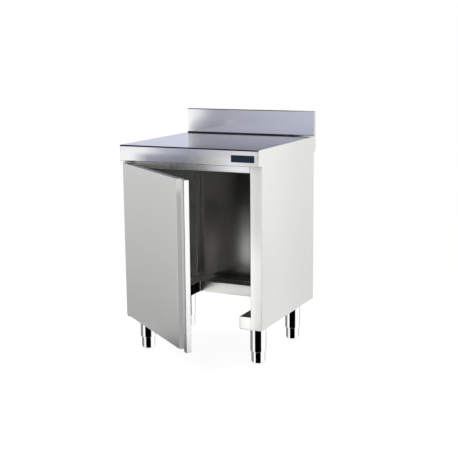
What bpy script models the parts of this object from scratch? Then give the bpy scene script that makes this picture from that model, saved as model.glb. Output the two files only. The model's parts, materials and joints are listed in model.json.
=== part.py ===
"""Waste bin cabinet of folded stainless steel, with a left-hung door and four levelling feet.

Metres, +Z up. X runs from left to right, Y from front to back, and the floor is Z = 0.
The origin is the middle of the whole object's box on the floor, with the door standing ajar.
The cabinet has no floor and no bottom rail at the front, so that a bin on castors rolls in.
"""
import math

import bmesh
import bpy
from mathutils import Matrix, Vector

# Overall sizes
WIDTH = 0.600
DEPTH = 0.600
HEIGHT = 0.858
LEG_HEIGHT = 0.155

# Sheet metal, bends and the gap left between pieces that touch
TOP_SHEET = 0.0015
BODY_SHEET = 0.0012
DOOR_SHEET = 0.0010
BRACKET_SHEET = 0.0025
BODY_BEND = 0.0025
BEND_STEPS = 4
CLEAR = 0.0003
SAME_POINT = 0.000001

# Worktop with its front edge and upstand
FASCIA_HEIGHT = 0.064
FRONT_OVERHANG = 0.029
REAR_OVERHANG = 0.013
RETURN_GAP = 0.005
UPSTAND_HEIGHT = 0.106
UPSTAND_THICKNESS = 0.018
WORKTOP_BEND = 0.006
CREST_BEND = 0.003
STIFFENER_CROWN = 0.050
STIFFENER_FLANGE = 0.020
STIFFENER_HEIGHT = 0.025
ANGLE_LEG = 0.025

# Body panels
STILE_WIDTH = 0.048
STILE_RETURN = 0.014
REAR_FLANGE = 0.016
BACK_TOP_FLANGE = 0.018
RAIL_SHOWN = 0.027
RAIL_RETURN = 0.025
POST_WIDTH = 0.055
POST_DEPTH = 0.041
POST_FLANGE = 0.036
CHANNEL_WIDTH = 0.096
CHANNEL_HEIGHT = 0.050

# Door, its finger grip and its pivots
DOOR_THICKNESS = 0.023
DOOR_GAP = 0.0035
DOOR_HINGE_MARGIN = 0.008
DOOR_FREE_MARGIN = 0.002
DOOR_TOP_GAP = 0.009
DOOR_BOTTOM_GAP = 0.0075
DOOR_RETURN = 0.014
DOOR_BEND = 0.002
DOOR_AJAR = math.radians(38.0)
GRIP_WIDTH = 0.041
GRIP_DEPTH = 0.014
GRIP_SLOPE = 0.015
LIP_WIDTH = 0.020
LIP_SET_BACK = 0.002
CAP_THICKNESS = 0.003
SKIN_EDGE = 0.0002
CORE_EDGE = 0.0005
PIVOT_INSET = 0.0095
PIVOT_DEPTH = 0.0115
PIN_RADIUS = 0.003
PIN_REACH = 0.020
PIN_HEAD_RADIUS = 0.0055
PIN_HEAD_HEIGHT = 0.0018
PIVOT_BUSH_WALL = 0.0018
PIVOT_BUSH_LENGTH = 0.024
PIVOT_FLANGE_RADIUS = 0.007
TONGUE_GAP = 0.0025
TONGUE_MARGIN = 0.009
TONGUE_RELIEF = 0.005
BRACKET_PLATE = 0.045
BRACKET_BEND = 0.0035

# Catch, strike and bumpers
CATCH_LENGTH = 0.050
CATCH_DEPTH = 0.016
CATCH_HEIGHT = 0.014
CATCH_FROM_STILE = 0.030
CATCH_EDGE = 0.001
POLE_LENGTH = 0.034
POLE_THICKNESS = 0.003
POLE_HEIGHT = 0.010
POLE_EDGE = 0.0003
STRIKE_LENGTH = 0.040
STRIKE_HEIGHT = 0.014
STRIKE_THICKNESS = 0.0015
STRIKE_EDGE = 0.0003
BUMPER_RADIUS = 0.0035
BUMPER_FROM_END = 0.060

# Legs and feet
LEG_FRONT_INSET = 0.073
LEG_REAR_INSET = 0.1205
SLEEVE_RADIUS = 0.0315
SLEEVE_WALL = 0.0015
SLEEVE_CAP = 0.003
SLEEVE_CHAMFER = 0.0008
FOOT_RADIUS = 0.0275
FOOT_WALL = 0.002
FOOT_SOLE = 0.004
FOOT_SHOWN = 0.053
FOOT_EDGE = 0.0025
GUIDE_HEIGHT = 0.014
STUD_RADIUS = 0.005
STUD_END = 0.002
PLATE_MARGIN = 0.008
PLATE_THICKNESS = 0.004
PLATE_EDGE = 0.0005
NUT_ACROSS_CORNERS = 0.0185
NUT_HEIGHT = 0.008
ROUND_STEPS = 32
SOLE_STEPS = 3

# Door outline in its own closed frame, measured from the pivot
DOOR_WIDTH = WIDTH - 2 * TOP_SHEET - DOOR_HINGE_MARGIN - DOOR_FREE_MARGIN
DOOR_LEFT = -PIVOT_INSET
DOOR_RIGHT = DOOR_WIDTH - PIVOT_INSET
DOOR_FRONT = -PIVOT_DEPTH
DOOR_REAR = DOOR_THICKNESS - PIVOT_DEPTH
LIP_LEFT = DOOR_RIGHT - LIP_WIDTH
GRIP_LEFT = LIP_LEFT - GRIP_WIDTH
LIP_FRONT = DOOR_FRONT + LIP_SET_BACK
GRIP_FLOOR = DOOR_FRONT + GRIP_DEPTH

# How far the door standing ajar reaches in front of the worktop, at the rounded corner of its lip
PIVOT_BEHIND_FRONT = FRONT_OVERHANG - DOOR_GAP - DOOR_THICKNESS + PIVOT_DEPTH
LIP_ARC_X = DOOR_RIGHT - DOOR_BEND
LIP_ARC_Y = LIP_FRONT + DOOR_BEND
DOOR_REACH = (math.sin(DOOR_AJAR) * LIP_ARC_X - math.cos(DOOR_AJAR) * LIP_ARC_Y
              + DOOR_BEND - PIVOT_BEHIND_FRONT)

# Planes of the cabinet
FRONT_Y = (DOOR_REACH - DEPTH) / 2
BACK_Y = FRONT_Y + DEPTH
UPSTAND_Y = BACK_Y - UPSTAND_THICKNESS
BODY_FRONT_Y = FRONT_Y + FRONT_OVERHANG
BODY_REAR_Y = BACK_Y - REAR_OVERHANG
BACK_PANEL_Y = BODY_REAR_Y - BODY_SHEET - CLEAR
BACK_FACE_Y = BACK_PANEL_Y - BODY_SHEET
INNER_REAR_Y = BACK_FACE_Y - CLEAR
BODY_X = WIDTH / 2 - TOP_SHEET - CLEAR
INNER_X = BODY_X - BODY_SHEET - CLEAR
STILE_X = BODY_X - STILE_WIDTH
CHANNEL_X = BODY_X - CHANNEL_WIDTH
BODY_BOTTOM_Z = LEG_HEIGHT
BODY_TOP_Z = HEIGHT - TOP_SHEET - CLEAR
FASCIA_BOTTOM_Z = HEIGHT - FASCIA_HEIGHT
CHANNEL_TOP_Z = BODY_BOTTOM_Z + CHANNEL_HEIGHT
RAIL_BOTTOM_Z = FASCIA_BOTTOM_Z - RAIL_SHOWN
DOOR_TOP_Z = FASCIA_BOTTOM_Z - DOOR_TOP_GAP
DOOR_BOTTOM_Z = BODY_BOTTOM_Z + DOOR_BOTTOM_GAP
PIVOT_X = TOP_SHEET + DOOR_HINGE_MARGIN + PIVOT_INSET - WIDTH / 2
PIVOT_Y = FRONT_Y + PIVOT_BEHIND_FRONT
LEG_X = BODY_X - CHANNEL_WIDTH / 2
LEG_FRONT_Y = BODY_FRONT_Y + LEG_FRONT_INSET
LEG_REAR_Y = BODY_REAR_Y - LEG_REAR_INSET

# Looks of the pieces: colour, roughness and metallic value
WORKTOP_STEEL = ((0.62, 0.63, 0.66), 0.28, 1.0)
BODY_STEEL = ((0.72, 0.72, 0.71), 0.32, 1.0)
DOOR_STEEL = ((0.66, 0.66, 0.65), 0.35, 1.0)
HIDDEN_STEEL = ((0.55, 0.55, 0.56), 0.45, 1.0)
POLISHED_STEEL = ((0.80, 0.80, 0.81), 0.08, 1.0)
ZINC_STEEL = ((0.60, 0.60, 0.58), 0.40, 1.0)
CORE_BOARD = ((0.55, 0.42, 0.28), 0.90, 0.0)
GREY_NYLON = ((0.25, 0.25, 0.26), 0.55, 0.0)
WHITE_NYLON = ((0.80, 0.80, 0.78), 0.50, 0.0)
BLACK_RUBBER = ((0.03, 0.03, 0.03), 0.80, 0.0)
DARK_MAGNET = ((0.10, 0.10, 0.11), 0.60, 0.0)


def finish(name, look):
    """A Principled material for one piece."""
    colour, roughness, metallic = look
    material = bpy.data.materials.new(name + "_finish")
    material.use_nodes = True
    shader = material.node_tree.nodes["Principled BSDF"]
    shader.inputs["Base Color"].default_value = (*colour, 1.0)
    shader.inputs["Roughness"].default_value = roughness
    shader.inputs["Metallic"].default_value = metallic
    material.diffuse_color = (*colour, 1.0)
    return material


def add_piece(name, bm, look, parent=None, location=(0, 0, 0)):
    """Turn a bmesh into a named object with its own material."""
    mesh = bpy.data.meshes.new(name)
    bm.to_mesh(mesh)
    bm.free()
    mesh.shade_smooth()
    mesh.set_sharp_from_angle(angle=math.radians(35))
    mesh.materials.append(finish(name, look))
    piece = bpy.data.objects.new(name, mesh)
    piece.location = location
    piece.parent = parent
    bpy.context.collection.objects.link(piece)
    return piece


def thicken(piece, thickness):
    """Give a folded surface its sheet thickness, grown behind the faces."""
    solidify = piece.modifiers.new("sheet", "SOLIDIFY")
    solidify.thickness = thickness
    solidify.offset = -1.0
    solidify.use_even_offset = True


def round_edges(bm, edges, radius):
    """Round a set of edges, as a press brake rounds its bends."""
    bmesh.ops.bevel(bm, geom=edges, offset=radius, offset_type="OFFSET", segments=BEND_STEPS,
                    profile=0.5, affect="EDGES", material=-1)


def cut(piece, bm):
    """Cut a closed shape out of a piece."""
    mesh = bpy.data.meshes.new(piece.name + "_cutter")
    bm.to_mesh(mesh)
    bm.free()
    cutter = bpy.data.objects.new(piece.name + "_cutter", mesh)
    cutter.parent = piece.parent
    cutter.hide_render = True
    cutter.display_type = "WIRE"
    bpy.context.collection.objects.link(cutter)
    boolean = piece.modifiers.new("cut", "BOOLEAN")
    boolean.operation = "DIFFERENCE"
    boolean.solver = "EXACT"
    boolean.object = cutter


def drill(piece, centre, radius, wall):
    """Cut a round vertical hole through a wall whose lower or upper face is at the centre."""
    bm = bmesh.new()
    bmesh.ops.create_cone(bm, cap_ends=True, segments=ROUND_STEPS, radius1=radius, radius2=radius,
                          depth=4 * wall, matrix=Matrix.Translation(centre))
    cut(piece, bm)


def fold(bm, path, axis, start, end):
    """Extrude a path along an axis. The faces look to the path's right, so the sheet grows to its left."""
    places = {"X": lambda u, v, w: (w, u, v),
              "Y": lambda u, v, w: (u, w, v),
              "Z": lambda u, v, w: (u, v, w)}
    place = places[axis]
    if axis == "Y":
        start, end = end, start
    chain = [bm.verts.new(place(u, v, start)) for u, v in path]
    edges = [bm.edges.new(pair) for pair in zip(chain, chain[1:])]
    grown = bmesh.ops.extrude_edge_only(bm, edges=edges)["geom"]
    moved = [item for item in grown if isinstance(item, bmesh.types.BMVert)]
    bmesh.ops.translate(bm, verts=moved, vec=place(0, 0, end - start))
    bmesh.ops.recalc_face_normals(bm, faces=bm.faces)
    bm.normal_update()
    along = chain[1].co - chain[0].co
    rise = Vector(place(0, 0, end - start))
    first = next(face for face in chain[0].link_faces)
    if first.normal.dot(along.cross(rise)) < 0:
        bmesh.ops.reverse_faces(bm, faces=bm.faces)


def folded_sheet(name, path, axis, start, end, thickness, bend, look, parent=None):
    """A sheet with parallel bends: a path of (u, v) points drawn out along an axis."""
    bm = bmesh.new()
    fold(bm, path, axis, start, end)
    round_edges(bm, [edge for edge in bm.edges if len(edge.link_faces) == 2], bend)
    piece = add_piece(name, bm, look, parent)
    thicken(piece, thickness)
    return piece


def block(name, low, high, look, edge, parent=None):
    """A rectangular piece between two corners, with softened edges."""
    low, high = Vector(low), Vector(high)
    bm = bmesh.new()
    bmesh.ops.create_cube(bm, size=1.0)
    bmesh.ops.scale(bm, vec=high - low, verts=bm.verts)
    bmesh.ops.translate(bm, vec=(low + high) / 2, verts=bm.verts)
    bmesh.ops.bevel(bm, geom=bm.edges[:], offset=edge, segments=1, profile=0.5, affect="EDGES", material=-1)
    return add_piece(name, bm, look, parent)


def turned(name, profile, look, parent=None, location=(0, 0, 0)):
    """Turn a (radius, height) profile round the vertical axis. It starts and ends there, or is a ring."""
    bm = bmesh.new()
    points = [bm.verts.new((radius, 0.0, height)) for radius, height in profile]
    ring = list(zip(points, points[1:]))
    if min(radius for radius, height in profile) > 0:
        ring.append((points[-1], points[0]))
    edges = [bm.edges.new(pair) for pair in ring]
    bmesh.ops.spin(bm, geom=points + edges, cent=(0, 0, 0), axis=(0, 0, 1), angle=math.tau,
                   steps=ROUND_STEPS, use_merge=True)
    bmesh.ops.remove_doubles(bm, verts=bm.verts, dist=SAME_POINT)
    bmesh.ops.recalc_face_normals(bm, faces=bm.faces)
    return add_piece(name, bm, look, parent, location)


def mirrored(path):
    """The same path on the left side of the cabinet, with the sheet still inside."""
    return [(-u, v) for u, v in reversed(path)]


def drawn_section(corners, reach):
    """A solid of one section drawn out along X. Each corner is (y, z, radius)."""
    bm = bmesh.new()
    end = bm.faces.new([bm.verts.new((-reach, y, z)) for y, z, radius in corners])
    grown = bmesh.ops.extrude_face_region(bm, geom=[end], use_keep_orig=True)["geom"]
    moved = [item for item in grown if isinstance(item, bmesh.types.BMVert)]
    bmesh.ops.translate(bm, verts=moved, vec=(2 * reach, 0, 0))
    bmesh.ops.recalc_face_normals(bm, faces=bm.faces)
    along = {(y, z): [edge for edge in bm.edges
                      if all((vert.co.yz - Vector((y, z))).length < SAME_POINT for vert in edge.verts)]
             for y, z, radius in corners}
    for y, z, radius in corners:
        if radius > 0:
            round_edges(bm, along[y, z], radius)
    return bm


def make_worktop():
    """Top, front edge with its hem and upstand, bent from one sheet with flat ends. It is open below."""
    crest = HEIGHT + UPSTAND_HEIGHT
    outside = [(FRONT_Y, FASCIA_BOTTOM_Z, 0), (FRONT_Y, HEIGHT, WORKTOP_BEND),
               (UPSTAND_Y, HEIGHT, WORKTOP_BEND), (UPSTAND_Y, crest, CREST_BEND),
               (BACK_Y, crest, CREST_BEND), (BACK_Y, FASCIA_BOTTOM_Z, 0)]
    worktop = add_piece("worktop", drawn_section(outside, WIDTH / 2), WORKTOP_STEEL)
    tight = WORKTOP_BEND - TOP_SHEET
    wide = WORKTOP_BEND + TOP_SHEET
    crest_tight = CREST_BEND - TOP_SHEET
    hem_y = FRONT_Y + FRONT_OVERHANG - RETURN_GAP
    below_z = FASCIA_BOTTOM_Z - TOP_SHEET
    inside = [(FRONT_Y + TOP_SHEET, FASCIA_BOTTOM_Z + TOP_SHEET, 0),
              (FRONT_Y + TOP_SHEET, HEIGHT - TOP_SHEET, tight),
              (UPSTAND_Y + TOP_SHEET, HEIGHT - TOP_SHEET, wide),
              (UPSTAND_Y + TOP_SHEET, crest - TOP_SHEET, crest_tight),
              (BACK_Y - TOP_SHEET, crest - TOP_SHEET, crest_tight),
              (BACK_Y - TOP_SHEET, below_z, 0),
              (hem_y, below_z, 0),
              (hem_y, FASCIA_BOTTOM_Z + TOP_SHEET, 0)]
    cut(worktop, drawn_section(inside, WIDTH / 2 - TOP_SHEET))


def make_stiffeners():
    """Two hat sections bonded under the worktop, from side to side."""
    half = STIFFENER_CROWN / 2
    crown_z = BODY_TOP_Z - STIFFENER_HEIGHT
    reach = INNER_X - ANGLE_LEG - CLEAR
    room = BODY_REAR_Y - POST_DEPTH - BODY_FRONT_Y - RAIL_RETURN
    for index, name in enumerate(("front_stiffener", "rear_stiffener")):
        middle = BODY_FRONT_Y + RAIL_RETURN + room * (2 * index + 1) / 4
        hat = [(middle + half + STIFFENER_FLANGE, BODY_TOP_Z), (middle + half, BODY_TOP_Z),
               (middle + half, crown_z), (middle - half, crown_z), (middle - half, BODY_TOP_Z),
               (middle - half - STIFFENER_FLANGE, BODY_TOP_Z)]
        folded_sheet(name, hat, "X", -reach, reach, BODY_SHEET, BODY_BEND, HIDDEN_STEEL)


def make_top_angles():
    """Angles inside the body that join the worktop to the side panels."""
    start = BODY_FRONT_Y + RAIL_RETURN + CLEAR
    end = BODY_REAR_Y - POST_DEPTH - CLEAR
    angle = [(INNER_X, BODY_TOP_Z - ANGLE_LEG), (INNER_X, BODY_TOP_Z), (INNER_X - ANGLE_LEG, BODY_TOP_Z)]
    folded_sheet("right_top_angle", angle, "Y", start, end, BODY_SHEET, BODY_BEND, HIDDEN_STEEL)
    folded_sheet("left_top_angle", mirrored(angle), "Y", start, end, BODY_SHEET, BODY_BEND, HIDDEN_STEEL)


def make_side_panels():
    """Each side is folded round at the front into the door post, and into a narrow flange at the rear."""
    plan = [(STILE_X, BODY_FRONT_Y + STILE_RETURN), (STILE_X, BODY_FRONT_Y), (BODY_X, BODY_FRONT_Y),
            (BODY_X, BODY_REAR_Y), (BODY_X - REAR_FLANGE, BODY_REAR_Y)]
    for name, path in (("right_side_panel", plan), ("left_side_panel", mirrored(plan))):
        bm = bmesh.new()
        fold(bm, path, "Z", BODY_BOTTOM_Z, BODY_TOP_Z)
        # The fold along the opening stops above the bottom channel, whose front end fills the corner.
        channel_clear = CHANNEL_TOP_Z + CLEAR
        bmesh.ops.bisect_plane(bm, geom=bm.verts[:] + bm.edges[:] + bm.faces[:], dist=SAME_POINT,
                               plane_co=(0, 0, channel_clear), plane_no=(0, 0, 1))
        turned_in = [face for face in bm.faces
                     if abs(abs(face.calc_center_median().x) - STILE_X) < SAME_POINT
                     and face.calc_center_median().z < channel_clear]
        bmesh.ops.delete(bm, geom=turned_in, context="FACES")
        bends = [edge for edge in bm.edges if len(edge.link_faces) == 2
                 and abs(edge.verts[0].co.z - edge.verts[1].co.z) > SAME_POINT]
        round_edges(bm, bends, BODY_BEND)
        thicken(add_piece(name, bm, BODY_STEEL), BODY_SHEET)


def make_front_rail():
    """A channel between the door posts, flush with them, that shows under the worktop's front edge."""
    reach = STILE_X - CLEAR
    rear = BODY_FRONT_Y + RAIL_RETURN
    path = [(rear, BODY_TOP_Z), (BODY_FRONT_Y, BODY_TOP_Z), (BODY_FRONT_Y, RAIL_BOTTOM_Z),
            (rear, RAIL_BOTTOM_Z)]
    folded_sheet("front_top_rail", path, "X", -reach, reach, BODY_SHEET, BODY_BEND, BODY_STEEL)


def make_back_panel():
    """A flat sheet inside the side panels' rear flanges, with its top edge folded forwards."""
    path = [(BACK_PANEL_Y, BODY_BOTTOM_Z), (BACK_PANEL_Y, BODY_TOP_Z),
            (BACK_PANEL_Y - BACK_TOP_FLANGE, BODY_TOP_Z)]
    reach = BODY_X - BODY_BEND
    folded_sheet("back_panel", path, "X", -reach, reach, BODY_SHEET, BODY_BEND, BODY_STEEL)


def make_rear_posts():
    """Corner posts that stand on the bottom channels and take the back panel, under its top flange."""
    inner = BODY_X - POST_WIDTH
    front = BODY_REAR_Y - POST_DEPTH
    plan = [(inner + POST_FLANGE, INNER_REAR_Y), (inner, INNER_REAR_Y), (inner, front), (INNER_X, front)]
    low = CHANNEL_TOP_Z + CLEAR
    high = BODY_TOP_Z - BODY_BEND - CLEAR
    for name, path in (("right_rear_post", plan), ("left_rear_post", mirrored(plan))):
        folded_sheet(name, path, "Z", low, high, BODY_SHEET, BODY_BEND, BODY_STEEL)


def make_side_channels():
    """Box channels along the bottom of each side. Their closed front ends lie flush with the door posts."""
    corner = STILE_X - CLEAR
    behind_post = BODY_FRONT_Y + BODY_BEND
    plan = [(CHANNEL_X, BODY_FRONT_Y), (corner, BODY_FRONT_Y), (corner, behind_post),
            (INNER_X, behind_post), (INNER_X, INNER_REAR_Y), (CHANNEL_X, INNER_REAR_Y)]
    for name, side in (("right_bottom_channel", 1), ("left_bottom_channel", -1)):
        bm = bmesh.new()
        base = bm.faces.new([bm.verts.new((side * x, y, BODY_BOTTOM_Z)) for x, y in plan])
        grown = bmesh.ops.extrude_face_region(bm, geom=[base], use_keep_orig=True)["geom"]
        moved = [item for item in grown if isinstance(item, bmesh.types.BMVert)]
        bmesh.ops.translate(bm, verts=moved, vec=(0, 0, CHANNEL_HEIGHT))
        bmesh.ops.recalc_face_normals(bm, faces=bm.faces)

        def is_wall(face):
            middle = face.calc_center_median()
            at_front = abs(middle.y - BODY_FRONT_Y) < SAME_POINT
            at_inner = abs(abs(middle.x) - CHANNEL_X) < SAME_POINT
            return at_front or at_inner or abs(face.normal.z) > 0.5

        bm.normal_update()
        bmesh.ops.delete(bm, geom=[face for face in bm.faces if not is_wall(face)], context="FACES")
        round_edges(bm, [edge for edge in bm.edges if len(edge.link_faces) == 2], BODY_BEND)
        channel = add_piece(name, bm, BODY_STEEL)
        thicken(channel, BODY_SHEET)
        for leg_y in (LEG_FRONT_Y, LEG_REAR_Y):
            drill(channel, (side * LEG_X, leg_y, BODY_BOTTOM_Z), STUD_RADIUS + CLEAR, BODY_SHEET)


def make_rear_channel():
    """The cross channel at the back, between the side channels."""
    reach = CHANNEL_X - CLEAR
    front = BODY_REAR_Y - CHANNEL_WIDTH
    path = [(INNER_REAR_Y, CHANNEL_TOP_Z), (front, CHANNEL_TOP_Z), (front, BODY_BOTTOM_Z),
            (INNER_REAR_Y, BODY_BOTTOM_Z)]
    folded_sheet("rear_bottom_channel", path, "X", -reach, reach, BODY_SHEET, BODY_BEND, BODY_STEEL)


def make_legs():
    """Four legs: a plate and nut in the channel, a sleeve on a stud, a guide bush and a sliding foot."""
    plate_half = CHANNEL_WIDTH / 2 - BODY_SHEET - PLATE_MARGIN
    plate_z = BODY_BOTTOM_Z + BODY_SHEET + CLEAR
    nut_z = plate_z + PLATE_THICKNESS + CLEAR
    stud_top = nut_z + NUT_HEIGHT + STUD_END
    sleeve_top = BODY_BOTTOM_Z - CLEAR
    sleeve_inner = SLEEVE_RADIUS - SLEEVE_WALL
    cap_under = sleeve_top - SLEEVE_CAP
    sleeve = [(0, stud_top), (STUD_RADIUS, stud_top), (STUD_RADIUS, sleeve_top),
              (SLEEVE_RADIUS, sleeve_top), (SLEEVE_RADIUS, FOOT_SHOWN + SLEEVE_CHAMFER),
              (SLEEVE_RADIUS - SLEEVE_CHAMFER, FOOT_SHOWN),
              (sleeve_inner, FOOT_SHOWN), (sleeve_inner, cap_under), (0, cap_under)]
    foot_inner = FOOT_RADIUS - FOOT_WALL
    foot_top = cap_under - CLEAR
    turns = [math.radians(90) * step / SOLE_STEPS for step in range(SOLE_STEPS + 1)]
    rounding = [(FOOT_RADIUS - FOOT_EDGE * (1 - math.sin(turn)), FOOT_EDGE * (1 - math.cos(turn)))
                for turn in turns]
    foot = [(0, 0), *rounding, (FOOT_RADIUS, foot_top), (foot_inner, foot_top),
            (foot_inner, FOOT_SOLE), (0, FOOT_SOLE)]
    guide_outer = sleeve_inner - CLEAR
    guide_inner = FOOT_RADIUS + CLEAR
    guide = [(guide_outer, FOOT_SHOWN), (guide_inner, FOOT_SHOWN), (guide_inner, FOOT_SHOWN + GUIDE_HEIGHT),
             (guide_outer, FOOT_SHOWN + GUIDE_HEIGHT)]
    for side_name, leg_x in (("left", -LEG_X), ("right", LEG_X)):
        for end_name, leg_y in (("front", LEG_FRONT_Y), ("rear", LEG_REAR_Y)):
            name = f"{end_name}_{side_name}_"
            axis = (leg_x, leg_y, 0)
            plate = block(name + "leg_plate", (leg_x - plate_half, leg_y - plate_half, plate_z),
                          (leg_x + plate_half, leg_y + plate_half, plate_z + PLATE_THICKNESS),
                          ZINC_STEEL, PLATE_EDGE)
            drill(plate, (leg_x, leg_y, plate_z), STUD_RADIUS + CLEAR, PLATE_THICKNESS)
            nut = bmesh.new()
            middle = Matrix.Translation((leg_x, leg_y, nut_z + NUT_HEIGHT / 2))
            bmesh.ops.create_cone(nut, cap_ends=True, segments=6, radius1=NUT_ACROSS_CORNERS / 2,
                                  radius2=NUT_ACROSS_CORNERS / 2, depth=NUT_HEIGHT, matrix=middle)
            nut = add_piece(name + "leg_nut", nut, ZINC_STEEL)
            drill(nut, (leg_x, leg_y, nut_z), STUD_RADIUS + CLEAR, NUT_HEIGHT)
            turned(name + "leg_sleeve", sleeve, POLISHED_STEEL, location=axis)
            turned(name + "leg_guide", guide, GREY_NYLON, location=axis)
            turned(name + "foot", foot, POLISHED_STEEL, location=axis)


def make_hinges():
    """Upper and lower brackets on the left door post, each with a tongue that carries a pivot pin."""
    plate_left = PIVOT_X + math.hypot(DOOR_LEFT, DOOR_REAR) + CLEAR
    plate_right = -STILE_X - CLEAR
    tongue_left = PIVOT_X - TONGUE_MARGIN
    tongue_front = PIVOT_Y - TONGUE_MARGIN
    seat_y = BODY_FRONT_Y - CLEAR
    relief_y = seat_y - TONGUE_RELIEF
    corners = [(tongue_left, relief_y), (tongue_left, tongue_front), (plate_right, tongue_front),
               (plate_right, seat_y), (plate_left, seat_y), (plate_left, relief_y)]
    for name, up, edge_z in (("upper", 1, DOOR_TOP_Z), ("lower", -1, DOOR_BOTTOM_Z)):
        far_z = edge_z + up * (TONGUE_GAP + BRACKET_SHEET)
        bm = bmesh.new()
        verts = [bm.verts.new((x, y, far_z)) for x, y in corners]
        tongue = bm.faces.new(verts)
        root = bm.edges.get((verts[3], verts[4]))
        grown = bmesh.ops.extrude_edge_only(bm, edges=[root])["geom"]
        moved = [item for item in grown if isinstance(item, bmesh.types.BMVert)]
        bmesh.ops.translate(bm, verts=moved, vec=(0, 0, -up * BRACKET_PLATE))
        bmesh.ops.recalc_face_normals(bm, faces=bm.faces)
        bm.normal_update()
        if tongue.normal.z * up < 0:
            bmesh.ops.reverse_faces(bm, faces=bm.faces)
        round_edges(bm, [root], BRACKET_BEND)
        bracket = add_piece(name + "_hinge_bracket", bm, ZINC_STEEL)
        thicken(bracket, BRACKET_SHEET)
        drill(bracket, (PIVOT_X, PIVOT_Y, far_z), PIN_RADIUS + CLEAR, BRACKET_SHEET)
        head_z = far_z + up * CLEAR
        head_end = head_z + up * PIN_HEAD_HEIGHT
        tip = edge_z - up * PIN_REACH
        pin = [(0, head_end), (PIN_HEAD_RADIUS, head_end), (PIN_HEAD_RADIUS, head_z),
               (PIN_RADIUS, head_z), (PIN_RADIUS, tip), (0, tip)]
        turned(name + "_hinge_pin", pin, POLISHED_STEEL, location=(PIVOT_X, PIVOT_Y, 0))


def grip_outline(rear):
    """The door's section in plan, from the rear of the hinge edge round the front to the free edge."""
    return [(DOOR_LEFT, rear), (DOOR_LEFT, DOOR_FRONT), (GRIP_LEFT, DOOR_FRONT),
            (GRIP_LEFT + GRIP_SLOPE, GRIP_FLOOR), (LIP_LEFT, GRIP_FLOOR), (LIP_LEFT, LIP_FRONT),
            (DOOR_RIGHT, LIP_FRONT), (DOOR_RIGHT, rear)]


def make_door(pivot):
    """A double-skinned door. The outer skin is folded into a full-height finger grip at its free edge."""
    skin = [(DOOR_LEFT + DOOR_RETURN, DOOR_REAR), *grip_outline(DOOR_REAR),
            (DOOR_RIGHT - DOOR_RETURN, DOOR_REAR)]
    folded_sheet("door_outer_skin", skin, "Z", DOOR_BOTTOM_Z, DOOR_TOP_Z, DOOR_SHEET, DOOR_BEND,
                 DOOR_STEEL, pivot)
    wall = DOOR_SHEET + CLEAR
    inner_rear = DOOR_REAR - wall
    inner_front = inner_rear - DOOR_SHEET
    block("door_inner_skin", (DOOR_LEFT + wall, inner_front, DOOR_BOTTOM_Z),
          (DOOR_RIGHT - wall, inner_rear, DOOR_TOP_Z), DOOR_STEEL, SKIN_EDGE, pivot)
    bush_outer = PIN_RADIUS + CLEAR + PIVOT_BUSH_WALL
    core_low = DOOR_BOTTOM_Z + CAP_THICKNESS + CLEAR
    core_high = DOOR_TOP_Z - CAP_THICKNESS - CLEAR
    block("door_core", (bush_outer + CLEAR, DOOR_FRONT + wall, core_low),
          (GRIP_LEFT - DOOR_BEND, inner_front - CLEAR, core_high), CORE_BOARD, CORE_EDGE, pivot)
    for name, low in (("door_top_cap", DOOR_TOP_Z - CAP_THICKNESS), ("door_bottom_cap", DOOR_BOTTOM_Z)):
        bm = bmesh.new()
        face = bm.faces.new([bm.verts.new((x, y, low)) for x, y in grip_outline(inner_rear)])
        bm.normal_update()
        rim = bmesh.ops.inset_region(bm, faces=[face], thickness=wall, use_boundary=True,
                                     use_even_offset=True)["faces"]
        bmesh.ops.delete(bm, geom=rim, context="FACES")
        grown = bmesh.ops.extrude_face_region(bm, geom=bm.faces[:], use_keep_orig=True)["geom"]
        moved = [item for item in grown if isinstance(item, bmesh.types.BMVert)]
        bmesh.ops.translate(bm, verts=moved, vec=(0, 0, CAP_THICKNESS))
        bmesh.ops.recalc_face_normals(bm, faces=bm.faces)
        corners = [edge for edge in bm.edges if abs(edge.verts[0].co.z - edge.verts[1].co.z) > CLEAR]
        round_edges(bm, corners, DOOR_BEND)
        cap = add_piece(name, bm, DOOR_STEEL, pivot)
        drill(cap, (0, 0, low), bush_outer + CLEAR, CAP_THICKNESS)
    bore = PIN_RADIUS + CLEAR
    for name, up, edge_z in (("door_upper_bush", 1, DOOR_TOP_Z), ("door_lower_bush", -1, DOOR_BOTTOM_Z)):
        flange_z = edge_z + up * (TONGUE_GAP - CLEAR)
        seat_z = edge_z + up * CLEAR
        inner_z = edge_z - up * PIVOT_BUSH_LENGTH
        turned(name, [(bore, flange_z), (PIVOT_FLANGE_RADIUS, flange_z), (PIVOT_FLANGE_RADIUS, seat_z),
                      (bush_outer, seat_z), (bush_outer, inner_z), (bore, inner_z)], WHITE_NYLON, pivot)


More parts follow.
